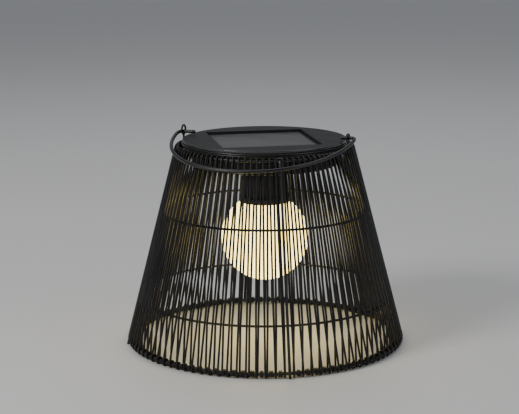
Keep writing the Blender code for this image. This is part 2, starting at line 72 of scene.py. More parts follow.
# --------------------------------------------------------------- materials
class Mat:
    """A Principled material with a few procedural layers."""

    def __init__(self, name, colour, rough, metal=0.0):
        self.m = bpy.data.materials.new(name)
        self.m.use_nodes = True
        self.t = self.m.node_tree
        self.b = self.t.nodes["Principled BSDF"]
        self.b.inputs["Base Color"].default_value = (*colour, 1)
        self.b.inputs["Roughness"].default_value = rough
        self.b.inputs["Metallic"].default_value = metal
        self.colour = colour
        self.rough = rough
        self.m.diffuse_color = (*colour, 1)
        self._coord = None
        self._normal = None

    def node(self, kind, **kw):
        n = self.t.nodes.new(kind)
        for k, v in kw.items():
            setattr(n, k, v)
        return n

    def link(self, a, b):
        self.t.links.new(a, b)

    def coord(self, scale=(1, 1, 1), rotz=0.0):
        tc = self.node("ShaderNodeTexCoord")
        mp = self.node("ShaderNodeMapping")
        mp.inputs["Scale"].default_value = scale
        mp.inputs["Rotation"].default_value = (0, 0, rotz)
        self.link(tc.outputs["Object"], mp.inputs["Vector"])
        return mp.outputs["Vector"]

    def noise(self, scale, detail=3.0, rough=0.5, stretch=(1, 1, 1), rotz=0.0):
        n = self.node("ShaderNodeTexNoise")
        n.inputs["Scale"].default_value = scale
        n.inputs["Detail"].default_value = detail
        n.inputs["Roughness"].default_value = rough
        self.link(self.coord(stretch, rotz), n.inputs["Vector"])
        return n.outputs["Fac"]

    def voronoi(self, scale, feature='F1', stretch=(1, 1, 1)):
        n = self.node("ShaderNodeTexVoronoi", feature=feature)
        n.inputs["Scale"].default_value = scale
        self.link(self.coord(stretch), n.inputs["Vector"])
        return n.outputs["Distance"]

    def remap(self, value, lo, hi, a=0.0, b=1.0):
        n = self.node("ShaderNodeMapRange")
        n.inputs["From Min"].default_value = lo
        n.inputs["From Max"].default_value = hi
        n.inputs["To Min"].default_value = a
        n.inputs["To Max"].default_value = b
        self.link(value, n.inputs["Value"])
        return n.outputs["Result"]

    def math(self, op, a, b):
        n = self.node("ShaderNodeMath", operation=op)
        for s, v in zip(n.inputs, (a, b)):
            if isinstance(v, (int, float)):
                s.default_value = v
            else:
                self.link(v, s)
        return n.outputs["Value"]

    def mix(self, fac, a, b):
        n = self.node("ShaderNodeMix", data_type='RGBA')
        for key, v in (("Factor", fac), ("A", a), ("B", b)):
            s = [i for i in n.inputs if i.name == key and i.enabled][0]
            if isinstance(v, (int, float)):
                s.default_value = v
            elif isinstance(v, tuple):
                s.default_value = (*v, 1)
            else:
                self.link(v, s)
        return [o for o in n.outputs if o.enabled][0]

    def colour_from(self, socket):
        self.link(socket, self.b.inputs["Base Color"])
        return self

    def rough_from(self, socket):
        self.link(socket, self.b.inputs["Roughness"])
        return self

    def bump(self, height, distance, strength=1.0):
        n = self.node("ShaderNodeBump")
        n.inputs["Strength"].default_value = strength
        n.inputs["Distance"].default_value = distance
        self.link(height, n.inputs["Height"])
        if self._normal is not None:
            self.link(self._normal, n.inputs["Normal"])
        self._normal = n.outputs["Normal"]
        self.link(self._normal, self.b.inputs["Normal"])
        return self

    def border(self, xyz, width):
        """1 in the printed margin round the panel, 0 over the cells."""
        x = self.math('ABSOLUTE', self.math('ADD', xyz.outputs["X"], 0.00188), 0.0)
        y = self.math('ABSOLUTE', self.math('ADD', xyz.outputs["Y"], 0.000745), 0.0)
        return self.math('MAXIMUM', self.math('GREATER_THAN', x, 0.0521 - width),
                         self.math('GREATER_THAN', y, 0.0534 - width))

    def up_facing(self):
        g = self.node("ShaderNodeNewGeometry")
        s = self.node("ShaderNodeSeparateXYZ")
        self.link(g.outputs["Normal"], s.inputs[0])
        return s.outputs["Z"]

    def height(self):
        tc = self.node("ShaderNodeTexCoord")
        s = self.node("ShaderNodeSeparateXYZ")
        self.link(tc.outputs["Object"], s.inputs[0])
        return s.outputs["Z"]


def shades(c, k):
    return tuple(min(1.0, x * k) for x in c)


def cord_material():
    c = (0.0075, 0.0075, 0.0078)
    m = Mat("cord_plastic", c, 0.38)
    streak = m.noise(1.0, 4.0, 0.6, stretch=(1500, 1500, 45))
    strand = m.noise(1.0, 1.0, 0.4, stretch=(170, 170, 9))
    tone = m.mix(m.remap(strand, 0.35, 0.65), shades(c, 0.62), shades(c, 1.7))
    tone = m.mix(m.remap(streak, 0.52, 0.75, 0, 0.55), tone, shades(c, 2.6))
    m.colour_from(tone)
    m.rough_from(m.remap(streak, 0.3, 0.7, 0.25, 0.42))
    m.bump(streak, 0.00016, 0.7)
    m.bump(m.noise(220, 2.0), 0.0005, 0.35)
    m.b.inputs["Specular IOR Level"].default_value = 0.42
    return m


def paint_material():
    c = (0.0082, 0.0082, 0.0086)
    m = Mat("frame_paint", c, 0.4, 0.0)
    grain = m.noise(2600, 3.0, 0.6)
    patch = m.noise(60, 3.0)
    m.colour_from(m.mix(m.remap(patch, 0.4, 0.7), shades(c, 0.8), shades(c, 1.5)))
    m.rough_from(m.remap(patch, 0.3, 0.7, 0.26, 0.4))
    m.bump(grain, 0.00012, 0.6)
    m.b.inputs["Coat Weight"].default_value = 0.15
    m.b.inputs["Coat Roughness"].default_value = 0.25
    return m


def lid_material():
    c = (0.0185, 0.0185, 0.019)
    m = Mat("lid_plastic", c, 0.5)
    grain = m.voronoi(1900)
    smear = m.noise(26, 4.0, 0.6, stretch=(1, 1.6, 1))
    tone = m.mix(m.remap(smear, 0.38, 0.68), shades(c, 0.86), shades(c, 1.14))
    # painted sky reflection: up-facing lid surfaces get a speckled lighter tone
    top_sky_sheen = m.math('MULTIPLY', m.remap(m.noise(900, 3.0, 0.7), 0.62, 0.74), m.remap(m.up_facing(), 0.8, 1.0))
    tone = m.mix(m.math('MULTIPLY', top_sky_sheen, 0.2), tone, (0.10, 0.098, 0.092))
    m.colour_from(tone)
    # the rolled edge is smoother than the grained top
    s = m.node("ShaderNodeSeparateXYZ")
    m.link(m.coord(), s.inputs[0])
    rr = m.math('ADD', m.math('MULTIPLY', s.outputs["X"], s.outputs["X"]), m.math('MULTIPLY', s.outputs["Y"], s.outputs["Y"]))
    edge = m.remap(rr, 0.0859 ** 2, 0.0867 ** 2)
    m.rough_from(m.math('SUBTRACT', m.remap(smear, 0.3, 0.7, 0.42, 0.56), m.math('MULTIPLY', edge, 0.27)))
    m.link(m.remap(edge, 0.0, 1.0, 0.25, 1.0), m.b.inputs["Specular IOR Level"])
    m.bump(grain, 0.00009, 0.45)
    m.bump(smear, 0.0006, 0.12)
    return m


def moulded_material(name, c, rough=0.48):
    m = Mat(name, c, rough)
    smear = m.noise(35, 4.0, 0.6)
    m.colour_from(m.mix(m.remap(smear, 0.35, 0.7), shades(c, 0.82), shades(c, 1.22)))
    m.rough_from(m.remap(smear, 0.3, 0.7, rough - 0.07, rough + 0.07))
    m.bump(m.noise(2200, 2.0), 0.00007, 0.5)
    return m


def panel_material():
    # dark cells under the laminate: fine collector lines across the cells,
    # two broad bus bars and the gaps between cells
    c = (0.030, 0.033, 0.048)
    m = Mat("solar_cell", c, 0.32)
    a = -math.radians(28.0)
    uv = m.coord((1, 1, 1), a)
    s = m.node("ShaderNodeSeparateXYZ")
    m.link(uv, s.inputs[0])

    def lines(axis, pitch, width, phase=0.0):
        v = m.math('ADD', m.math('DIVIDE', s.outputs[axis], pitch), phase + 100.0)
        v = m.math('FRACT', v, 0.0)
        v = m.math('ABSOLUTE', m.math('SUBTRACT', v, 0.5), 0.0)
        return m.math('LESS_THAN', v, width / pitch / 2)

    fingers = lines("X", 0.0021, 0.00022)
    bars = lines("Y", 0.0350, 0.0016)
    gaps = lines("X", 0.0262, 0.0009, 0.5)
    border = m.border(s, 0.0034)
    crystal = m.voronoi(95, stretch=(1, 1.8, 1))
    tone = m.mix(m.remap(crystal, 0.0, 0.9), shades(c, 0.8), shades(c, 1.35))
    tone = m.mix(m.math('MULTIPLY', fingers, 0.45), tone, (0.22, 0.22, 0.24))
    tone = m.mix(m.math('MULTIPLY', bars, 0.6), tone, (0.34, 0.34, 0.36))
    tone = m.mix(m.math('MULTIPLY', gaps, 0.8), tone, (0.012, 0.012, 0.016))
    tone = m.mix(border, tone, (0.008, 0.008, 0.009))
    m.colour_from(tone)
    m.bump(m.noise(900, 2.0), 0.00005, 0.3)
    return m


def cover_material():
    # frosted laminate: mostly lets the cells show through as a soft grey
    c = (0.50, 0.50, 0.51)
    m = Mat("panel_glass", c, 0.34)
    m.b.inputs["Transmission Weight"].default_value = 0.62
    m.b.inputs["IOR"].default_value = 1.46
    smear = m.noise(22, 4.0, 0.65, stretch=(1, 2.0, 1))
    s = m.node("ShaderNodeSeparateXYZ")
    m.link(m.coord((1, 1, 1), -math.radians(28.0)), s.inputs[0])
    border = m.border(s, 0.0029)
    tone = m.mix(m.remap(smear, 0.35, 0.7), (0.215, 0.213, 0.214), (0.262, 0.258, 0.26))
    m.colour_from(m.mix(border, tone, (0.009, 0.009, 0.010)))
    m.link(m.math('MULTIPLY', m.math('SUBTRACT', 1.0, border), 0.62), m.b.inputs["Transmission Weight"])
    m.rough_from(m.remap(smear, 0.3, 0.7, 0.3, 0.4))
    m.bump(m.noise(1500, 3.0, 0.6), 0.00005, 0.5)
    return m


def globe_material():
    c = (0.93, 0.88, 0.78)
    m = Mat("globe_opal", c, 0.3)
    h = m.height()
    cloud = m.noise(38, 3.0, 0.6)
    warm = m.mix(m.remap(h, 0.066, 0.158), (1.0, 0.77, 0.25), (1.0, 0.73, 0.21))
    warm = m.mix(m.remap(cloud, 0.3, 0.7, 0.0, 0.35), warm, (1.0, 0.81, 0.31))
    m.link(warm, m.b.inputs["Emission Color"])
    m.b.inputs["Emission Strength"].default_value = 5.6
    m.b.inputs["Coat Weight"].default_value = 0.2
    m.b.inputs["Coat Roughness"].default_value = 0.2
    m.bump(m.noise(400, 2.0), 0.00006, 0.3)
    return m


def metal_material(name, c, rough=0.3):
    m = Mat(name, c, rough, 1.0)
    brush = m.noise(1.0, 3.0, 0.6, stretch=(260, 2600, 2600))
    m.colour_from(m.mix(brush, shades(c, 0.78), shades(c, 1.15)))
    m.rough_from(m.remap(brush, 0.3, 0.7, rough - 0.08, rough + 0.12))
    m.bump(brush, 0.00003, 0.4)
    return m


def gloss_material(name, c, rough=0.35, coat=0.0):
    m = Mat(name, c, rough)
    n = m.noise(180, 3.0, 0.6)
    m.colour_from(m.mix(m.remap(n, 0.35, 0.7), shades(c, 0.85), shades(c, 1.15)))
    m.rough_from(m.remap(n, 0.3, 0.7, max(0.05, rough - 0.08), rough + 0.08))
    m.bump(n, 0.00008, 0.3)
    if coat:
        m.b.inputs["Coat Weight"].default_value = coat
    return m


def board_material(name, c):
    # solder mask with copper tracks faintly raised under it
    m = Mat(name, c, 0.38)
    s = m.noise(1.0, 0.0, 0.5, stretch=(260, 40, 1))
    t = m.noise(1.0, 0.0, 0.5, stretch=(40, 260, 1), rotz=0.5)
    track = m.math('MAXIMUM', m.remap(m.math('ABSOLUTE', m.math('SUBTRACT', s, 0.5), 0.0), 0.0, 0.03, 1.0, 0.0),
                   m.remap(m.math('ABSOLUTE', m.math('SUBTRACT', t, 0.5), 0.0), 0.0, 0.03, 1.0, 0.0))
    m.colour_from(m.mix(track, c, shades(c, 1.6)))
    m.bump(track, 0.00012, 0.5)
    return m


CORD = cord_material()
PAINT = paint_material()
LID = lid_material()
INNER = moulded_material("housing_plastic", (0.024, 0.024, 0.025))
SWITCH = moulded_material("switch_plastic", (0.02, 0.02, 0.02), 0.42)
CELL = panel_material()
COVER = cover_material()
SEAL = moulded_material("seal_rubber", (0.014, 0.014, 0.014), 0.75)
STEEL = metal_material("screw_steel", (0.56, 0.56, 0.57))
NICKEL = metal_material("contact_nickel", (0.62, 0.60, 0.54), 0.26)
COPPER = metal_material("coil_copper", (0.72, 0.34, 0.16), 0.33)
BOARD = board_material("circuit_board", (0.02, 0.13, 0.05))
WHITE = board_material("led_board_white", (0.78, 0.78, 0.76))
SLEEVE = gloss_material("battery_wrap", (0.035, 0.2, 0.10), 0.3, 0.3)
RED = gloss_material("wire_red", (0.45, 0.015, 0.012), 0.4)
BLACK = gloss_material("wire_black", (0.012, 0.012, 0.012), 0.4)
SOLDER = metal_material("solder", (0.7, 0.7, 0.7), 0.25)
CHIP = gloss_material("chip_epoxy", (0.015, 0.015, 0.016), 0.45)
OPAL = globe_material()
PHOSPHOR = gloss_material("led_phosphor", (0.95, 0.72, 0.25), 0.3)
PHOSPHOR.b.inputs["Emission Color"].default_value = (1.0, 0.78, 0.42, 1)
PHOSPHOR.b.inputs["Emission Strength"].default_value = 14.0


# ------------------------------------------------------------ mesh builders
def show(name, me, mat, body, node=None, smooth_angle=35):
    me.materials.clear()
    me.materials.append(mat.m)
    me.shade_smooth()
    if smooth_angle:
        me.set_sharp_from_angle(angle=math.radians(smooth_angle))
    o = bpy.data.objects.new(name, me)
    made.objects.link(o)
    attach(o, body)
    if node:
        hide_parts(*([node] if isinstance(node, str) else node))
    return o


def mesh_of(verts, faces, name="m"):
    me = bpy.data.meshes.new(name)
    me.from_pydata([tuple(v) for v in verts], [], faces)
    me.validate()
    me.update()
    return me


def sweep(points, radius, sides=12, closed=False, round_ends=0, squash=1.0):
    """Verts and faces of a round tube along points (metres), closed at its ends."""
    p = np.asarray(points, float)
    n = len(p)
    if closed:
        tang = np.roll(p, -1, 0) - np.roll(p, 1, 0)
    else:
        tang = np.gradient(p, axis=0)
    tang /= np.linalg.norm(tang, axis=1)[:, None]
    ref = np.array([0, 0, 1.0]) if abs(tang[0][2]) < 0.9 else np.array([1.0, 0, 0])
    u = np.cross(tang[0], ref)
    u /= np.linalg.norm(u)
    us = [u]
    for i in range(1, n):
        v = us[-1] - tang[i] * np.dot(us[-1], tang[i])
        us.append(v / np.linalg.norm(v))
    us = np.array(us)
    if closed:
        # spread the leftover twist over the loop
        end = us[-1] - tang[0] * np.dot(us[-1], tang[0])
        end /= np.linalg.norm(end)
        w0 = np.cross(tang[0], us[0])
        ang = math.atan2(np.dot(end, w0), np.dot(end, us[0]))
        for i in range(n):
            a = -ang * i / n
            w = np.cross(tang[i], us[i])
            us[i] = us[i] * math.cos(a) + w * math.sin(a)
    ws = np.cross(tang, us)
    rad = np.full(n, radius) if np.isscalar(radius) else np.asarray(radius, float)
    rings = [(p[i], us[i], ws[i], rad[i]) for i in range(n)]
    if not closed and round_ends:
        head, tail = [], []
        for k in range(round_ends):
            a = math.pi / 2 * (k + 1) / (round_ends + 1)
            head.append((p[0] - tang[0] * rad[0] * squash * math.sin(a), us[0], ws[0], rad[0] * math.cos(a)))
            tail.append((p[-1] + tang[-1] * rad[-1] * squash * math.sin(a), us[-1], ws[-1], rad[-1] * math.cos(a)))
        rings = head[::-1] + rings + tail
    t = np.linspace(0, 2 * math.pi, sides, endpoint=False)
    verts, faces = [], []
    for c, a, b, r in rings:
        verts.extend(c + r * (np.outer(np.cos(t), a) + np.outer(np.sin(t), b)))
    m = len(rings)
    last = m if closed else m - 1
    for i in range(last):
        j = (i + 1) % m
        for k in range(sides):
            k2 = (k + 1) % sides
            faces.append((i * sides + k, i * sides + k2, j * sides + k2, j * sides + k))
    if not closed:
        if round_ends:
            for ring_i, sgn in ((0, -1), (m - 1, 1)):
                tip = len(verts)
                base = p[0] - tang[0] * radius_at(rad[0]) * squash if sgn < 0 else p[-1] + tang[-1] * radius_at(rad[-1]) * squash
                verts.append(base)
                for k in range(sides):
                    k2 = (k + 1) % sides
                    f = (ring_i * sides + k, ring_i * sides + k2, tip)
                    faces.append(f if sgn > 0 else f[::-1])
        else:
            faces.append(tuple(range(sides))[::-1])
            faces.append(tuple((m - 1) * sides + k for k in range(sides)))
    return verts, faces


def radius_at(r):
    return float(r)


def merge(chunks):
    verts, faces = [], []
    for v, f in chunks:
        base = len(verts)
        verts.extend(v)
        faces.extend(tuple(i + base for i in face) for face in f)
    return verts, faces


def polar(r, deg, z):
    a = math.radians(deg)
    return (r * math.sin(a), -r * math.cos(a), z)


def mm(points):
    return [tuple(c * MM for c in q) for q in points]


def fillet(profile, radius, n=4, closed=False):
    """Rounds the corners of a 2D outline."""
    pts = [np.array(q, float) for q in profile]
    out = []
    m = len(pts)
    for i, q in enumerate(pts):
        if not closed and i in (0, m - 1):
            out.append(tuple(q))
            continue
        a, b = pts[i - 1], pts[(i + 1) % m]
        va, vb = a - q, b - q
        la, lb = np.linalg.norm(va), np.linalg.norm(vb)
        va, vb = va / la, vb / lb
        half = math.acos(max(-1, min(1, float(np.dot(va, vb))))) / 2
        if half > math.radians(86):
            out.append(tuple(q))
            continue
        r = radius if np.isscalar(radius) else radius[i]
        d = min(r / math.tan(half), la * 0.45, lb * 0.45)
        if d < 1e-6:
            out.append(tuple(q))
            continue
        r = d * math.tan(half)
        mid = (va + vb) / np.linalg.norm(va + vb)
        centre = q + mid * (r / math.sin(half))
        s, e = q + va * d - centre, q + vb * d - centre
        a0, a1 = math.atan2(s[1], s[0]), math.atan2(e[1], e[0])
        da = (a1 - a0 + math.pi) % (2 * math.pi) - math.pi
        for k in range(n + 1):
            t = a0 + da * k / n
            out.append((centre[0] + r * math.cos(t), centre[1] + r * math.sin(t)))
    return out


def lathe(profile, steps=128, closed=False, rot=0.0, xy=(0, 0)):
    """Solid of revolution as a mesh; the profile (mm) runs down its outer side."""
    verts, faces, ring_of = [], [], []
    c0, s0 = math.cos(math.radians(rot)), math.sin(math.radians(rot))
    ox, oy = xy[0] * c0 - xy[1] * s0, xy[0] * s0 + xy[1] * c0
    for r, z in profile:
        if r < 1e-6:
            ring_of.append([len(verts)] * steps)
            verts.append((ox * MM, oy * MM, z * MM))
        else:
            base = len(verts)
            ring_of.append(list(range(base, base + steps)))
            for k in range(steps):
                t = 2 * math.pi * k / steps
                verts.append(((ox + r * math.cos(t)) * MM, (oy + r * math.sin(t)) * MM, z * MM))
    m = len(profile)
    for i in range(m if closed else m - 1):
        a, b = ring_of[i], ring_of[(i + 1) % m]
        for k in range(steps):
            k2 = (k + 1) % steps
            f = []
            for v in (a[k], b[k], b[k2], a[k2]):
                if v not in f:
                    f.append(v)
            if len(f) > 2:
                faces.append(tuple(f))
    return verts, faces


def temp(verts_faces=None, me=None):
    if me is None:
        me = mesh_of(*verts_faces)
    o = bpy.data.objects.new("tmp", me)
    made.objects.link(o)
    return o


def slab(size, centre, rot=0.0, bevel=0.0, seg=3, corner=0.0):
    """Block in mm as a temporary object; bevel rounds every edge."""
    bm = bmesh.new()
    bmesh.ops.create_cube(bm, size=1.0)
    bmesh.ops.scale(bm, vec=Vector(size) * MM, verts=bm.verts)
    if corner:
        edges = [e for e in bm.edges if abs(e.verts[0].co.z - e.verts[1].co.z) > 1e-6]
        bmesh.ops.bevel(bm, geom=edges, offset=corner * MM, segments=6, affect='EDGES', profile=0.5)
    if bevel:
        edges = list(bm.edges) if not corner else [e for e in bm.edges if e.calc_face_angle(0) > 0.9]
        bmesh.ops.bevel(bm, geom=edges, offset=bevel * MM, segments=seg, affect='EDGES', profile=0.5)
    bmesh.ops.translate(bm, vec=Vector(centre) * MM, verts=bm.verts)
    bmesh.ops.rotate(bm, cent=(0, 0, 0), matrix=Matrix.Rotation(math.radians(rot), 3, 'Z'), verts=bm.verts)
    me = bpy.data.meshes.new("slab")
    bm.to_mesh(me)
    bm.free()
    return temp(me=me)


def post_form(r, z0, z1, xy, rot=0.0, sides=40):
    return temp(lathe([(0, z1), (r, z1), (r, z0), (0, z0)], sides, rot=rot, xy=xy))


def solid(base, unions=(), cuts=(), bevel=0.0, seg=2, angle=30):
    """Applies Booleans and a bevel; returns the finished mesh."""
    for o in unions:
        m = base.modifiers.new("u", 'BOOLEAN')
        m.operation, m.solver, m.object = 'UNION', 'EXACT', o
    for o in cuts:
        m = base.modifiers.new("c", 'BOOLEAN')
        m.operation, m.solver, m.object = 'DIFFERENCE', 'EXACT', o
    if bevel:
        w = base.modifiers.new("w", 'WELD')
        w.merge_threshold = 0.000005
        m = base.modifiers.new("b", 'BEVEL')
        m.width, m.segments, m.limit_method, m.angle_limit = bevel * MM, seg, 'ANGLE', math.radians(angle)
        m.use_clamp_overlap = True
    dg = bpy.context.evaluated_depsgraph_get()
    me = bpy.data.meshes.new_from_object(base.evaluated_get(dg))
    for o in (base, *unions, *cuts):
        bpy.data.objects.remove(o, do_unlink=True)
    return me


def take(o):
    me = o.data
    bpy.data.objects.remove(o, do_unlink=True)
    return me


def glue(*objs):
    """Joins temporary objects into one mesh without a Boolean (separate shells)."""
    chunks = []
    for o in objs:
        me = o.data
        chunks.append(([tuple(v.co) for v in me.vertices], [tuple(p.vertices) for p in me.polygons]))
        bpy.data.objects.remove(o, do_unlink=True)
    return mesh_of(*merge(chunks))


# ------------------------------------------------------------------- winding
RNG = np.random.RandomState(11)
TURNS, PER_RUN, PITCH, FIRST = 96, 6, 3.75, 1.83
CORD_R = 1.1
W_BASE, W_TOP = 2.9, 2.65          # cord centre from the ring it turns round
OUT_B, IN_B, ZB = 145.2, 141.8, 4.2
OUT_T, ZT = 92.1, 210.3
MID, LOW = (109.1, 143.0), (133.0, 50.5)
LEAN_OUT, LEAN_TOP, LEAN_IN = 0.95, 1.02, 1.18
POST_DEG = [26.25 + 90 * i for i in range(4)]
STEM_DEG = [90.0, 270.0]


def wrap(d):
    return (d + 180.0) % 360.0 - 180.0


def beside(deg, r, home, uprights):
    """Moves a strand point aside where it would run into an upright."""
    for o in uprights:
        off = wrap(deg - o)
        side = 1.0 if wrap(home - o) > 0 else -1.0
        need = math.degrees(2.8 / r)
        if abs(off) < 8.0 and off * side < need:
            deg += side * need - off
    return deg


jit = {}
for k in range(TURNS):
    d = FIRST + PITCH * k
    calm = 0.0 if min(abs(wrap(d - q)) for q in POST_DEG + STEM_DEG) < 5.0 else 1.0
    jit[k] = (RNG.uniform(-0.12, 0.12) * calm, RNG.uniform(-0.15, 0.15) * calm,
              RNG.uniform(-0.15, 0.15) * calm, RNG.uniform(-0.1, 0.1) * calm, RNG.uniform(-0.1, 0.1) * calm,
              RNG.uniform(-0.07, 0.07) * calm, RNG.uniform(-0.5, 0.5))


def arc(cx, cz, a0, a1, n, w):
    return [(cx + w * math.cos(math.radians(a0 + (a1 - a0) * i / n)),
             cz + w * math.sin(math.radians(a0 + (a1 - a0) * i / n))) for i in range(n + 1)]


def turn_points(k):
    """One turn: up the outside, over the top ring, down inside, under the base rings."""
    deg = FIRST + PITCH * k
    jb, jt, ji, jm, jl, bow, wob = jit[k % TURNS]
    lean = math.degrees(math.atan2(OUT_B - OUT_T, ZT - ZB))
    home = deg + jb
    land = deg - LEAN_OUT - LEAN_TOP - LEAN_IN + jb
    up = beside(deg - LEAN_OUT + jt, OUT_T + 3.1, deg, POST_DEG)
    up = beside(up, OUT_T + 3.1, deg, STEM_DEG)
    down = beside(deg - LEAN_OUT - LEAN_TOP + ji, OUT_T - 3.1, land, POST_DEG)
    down = beside(down, OUT_T - 3.1, deg, STEM_DEG)
    pts = [(r, home, z) for r, z in arc(OUT_B, ZB, -90, lean, 7, W_BASE)]
    r0, z0 = pts[-1][0], pts[-1][2]
    r1 = OUT_T + W_TOP * math.cos(math.radians(lean))
    z1 = ZT + W_TOP * math.sin(math.radians(lean))
    n = 13
    for i in range(1, n):
        t = i / n
        pts.append((r0 + (r1 - r0) * t + 0.1 * math.sin(math.pi * t) * wob,
                    home + (up - home) * t + bow * math.sin(math.pi * t), z0 + (z1 - z0) * t))
    over = arc(OUT_T, ZT, lean, 188, 13, W_TOP)
    for i, (r, z) in enumerate(over):
        f = min(1.0, max(0.0, (i - 3) / 7))
        pts.append((r, up + (down - up) * f, z))
    z_in, z_low = over[-1][1], ZB
    r_mid, r_low = MID[0] + 2.75, LOW[0] + 2.75

    def inner_deg(z):
        return down + (land - down) * (z_in - z) / (z_in - z_low)

    stops = [(over[-1][0], z_in, down),
             (r_mid, MID[1], beside(inner_deg(MID[1]) + jm, r_mid, land, POST_DEG)),
             (r_low, LOW[1], beside(inner_deg(LOW[1]) + jl, r_low, land, POST_DEG)),
             (IN_B - W_BASE * 0.99, ZB - 0.4, land)]
    for (ra, za, da), (rb, zb, db) in zip(stops, stops[1:]):
        n = 6 if za - zb < 60 else 8
        for i in range(1, n + 1):
            t = i / n
            pts.append((ra + (rb - ra) * t, da + (db - da) * t, za + (zb - za) * t))
    for r, z in arc(IN_B, ZB, 188, 270, 6, W_BASE)[1:]:
        pts.append((r, land, z))
    # under both rings on the way to the next turn
    nxt = deg - PITCH + jit[(k - 1) % TURNS][0]
    for i in (1, 2):
        pts.append((IN_B + (OUT_B - IN_B) * i / 3, land + (nxt - land) * i / 3, ZB - W_BASE))
    return pts


for run in range(TURNS // PER_RUN):
    pts = []
    for k in reversed(range(run * PER_RUN, (run + 1) * PER_RUN)):
        pts += turn_points(k)
    line = [tuple(c * MM for c in polar(r, d, z)) for r, d, z in pts]
    name = "cord_run_%02d" % (run + 1)
    show("winding_%02d" % (run + 1), mesh_of(*sweep(line, CORD_R * MM, 10)), CORD, SHADE, name, 60)

# the bare stretches of base ring between the turns are bound with the same cord
BIND_R, BIND_W = 0.92, 2.24
track = ([(OUT_B + BIND_W * math.cos(t), ZB + BIND_W * math.sin(t)) for t in np.linspace(-math.pi / 2, math.pi / 2, 9)] +
         [(IN_B + BIND_W * math.cos(t), ZB + BIND_W * math.sin(t)) for t in np.linspace(math.pi / 2, 1.5 * math.pi, 9)])
binding = []
for k in range(TURNS):
    a, b = FIRST + PITCH * k + 1.47 + jit[k][0], FIRST + PITCH * k + 2.92 + jit[(k + 1) % TURNS][0]
    if min(abs(wrap((a + b) / 2 - q)) for q in POST_DEG) < 1.5:
        continue
    total = 2 * len(track)
    line = []
    for i in range(total + 1):
        r, z = track[i % len(track)]
        line.append(tuple(c * MM for c in polar(r, a + (b - a) * i / total, z)))
    binding.append(sweep(line, BIND_R * MM, 8))
show("base_binding", mesh_of(*merge(binding)), CORD, SHADE, None, 60)

# --------------------------------------------------------------- wire frame
WIRE_R = 1.25
RINGS = {"base_outer_ring": (OUT_B, ZB), "base_inner_ring": (IN_B, ZB), "lower_hoop": LOW,
         "upper_hoop": MID, "top_outer_ring": (OUT_T, ZT), "top_inner_ring": (86.3, 213.6)}
for name, (r, z) in RINGS.items():
    loop = [tuple(c * MM for c in polar(r, 360.0 * i / 220, z)) for i in range(220)]
    show(name + "_wire", mesh_of(*sweep(loop, WIRE_R * MM, 14, closed=True)), PAINT, SHADE, name, 60)

FOOT_R, SLOPE, POST_TOP = 149.55, 0.2582, 211.6
beads = []
for i, deg in enumerate(POST_DEG):
    line = []
    for k in range(25):
        z = 0.8 + (POST_TOP - 1.7) * k / 24
        line.append(tuple(c * MM for c in polar(FOOT_R - SLOPE * z, deg, z)))
    show("post_%d_bar" % (i + 1), mesh_of(*sweep(line, 1.5 * MM, 14, round_ends=4, squash=0.45)), PAINT, SHADE,
         "post_%d" % (i + 1), 60)
    for name, (r, z) in RINGS.items():
        rp = FOOT_R - SLOPE * z
        if rp - r > 5:
            continue
        # weld bead between ring and post
        bm = bmesh.new()
        bmesh.ops.create_icosphere(bm, subdivisions=3, radius=1.0)
        for v in bm.verts:
            n = v.co.copy()
            lump = 1 + 0.07 * math.sin(5 * n.x + 3 * n.z + i) * math.cos(4 * n.y - 2 * n.z)
            v.co = Vector((n.x * 1.3, n.y * 1.5, n.z * 1.35)) * lump
        a = math.radians(deg)
        rotm = Matrix.Rotation(a, 3, 'Z')
        c = Vector(polar((r + rp) / 2, deg, z))
        verts = [tuple((rotm @ v.co + c) * MM) for v in bm.verts]
        faces = [tuple(v.index for v in f.verts) for f in bm.faces]
        bm.free()
        beads.append((verts, faces))
# short struts between the turns carry the seat ring
for k in (10, 34, 58, 82):
    d = FIRST + PITCH * k - 3.36
    line = [polar(OUT_T - 0.9 - 4.1 * t, d, ZT + 0.7 + 2.1 * t) for t in np.linspace(0, 1, 9)]
    beads.append(sweep(mm(line), 0.85 * MM, 12))
for deg in STEM_DEG:
    line = [polar(90.6 - 3.6 * t, deg, 213.9 - 0.2 * t) for t in np.linspace(0, 1, 9)]
    beads.append(sweep(mm(line), np.array([1.15 - 0.35 * math.sin(math.pi * t) for t in np.linspace(0, 1, 9)]) * MM, 12))
show("frame_welds", mesh_of(*merge(beads)), PAINT, SHADE, None, 0)

# ----------------------------------------------------------- handle and eyes
PIVOT_Z, EYE_X, EYE_R = 223.3, 91.0, 1.05
askew = Matrix.Rotation(math.radians(-10.0), 3, 'Z')
for side, name, (cz, half_h, half_w) in ((-1, "handle_eye_left", (225.2, 4.98, 3.9)),
                                        (1, "handle_eye_right", (223.7, 3.53, 3.7))):
    loop = [tuple(askew @ Vector((0, half_w * math.sin(t), -half_h * math.cos(t))) + Vector((side * EYE_X, 0, cz)))
            for t in np.linspace(0, 2 * math.pi, 56, endpoint=False)]
    foot = cz - half_h
    stem = [(side * EYE_X, 0, z) for z in np.linspace(ZT + 1.2, foot, 10)]
    rad = [1.9 - 0.8 * min(1, k / 3.0) ** 0.6 for k in range(9)] + [1.2]
    a = temp(sweep(mm(loop), EYE_R * MM, 14, closed=True))
    b = temp(sweep(mm(stem), np.array(rad) * MM, 16))
    me = solid(a, unions=(b,), bevel=0.0)
    show(name + "_loop", me, PAINT, SHADE, name, 50)

DROP = math.radians(11.15)
HALF, DEPTH, EXPO, SHIFT = 97.85, 109.4, 2.1, 1.35
TIP_LEFT, TIP_RIGHT = -78.5, 84.0


def bail(x, d):
    return (x + SHIFT, -d * math.cos(DROP), PIVOT_Z - d * math.sin(DROP))


corner = 4.6
bow = []
for i in range(121):
    t = math.pi * i / 120
    e = 2.0 / EXPO
    bow.append((-math.copysign(abs(math.cos(t)) ** e, math.cos(t)) * HALF, DEPTH * math.sin(t) ** e))


def stub(tip, start):
    return [(tip + (start - tip) * i / 4, 0.0) for i in range(5)]


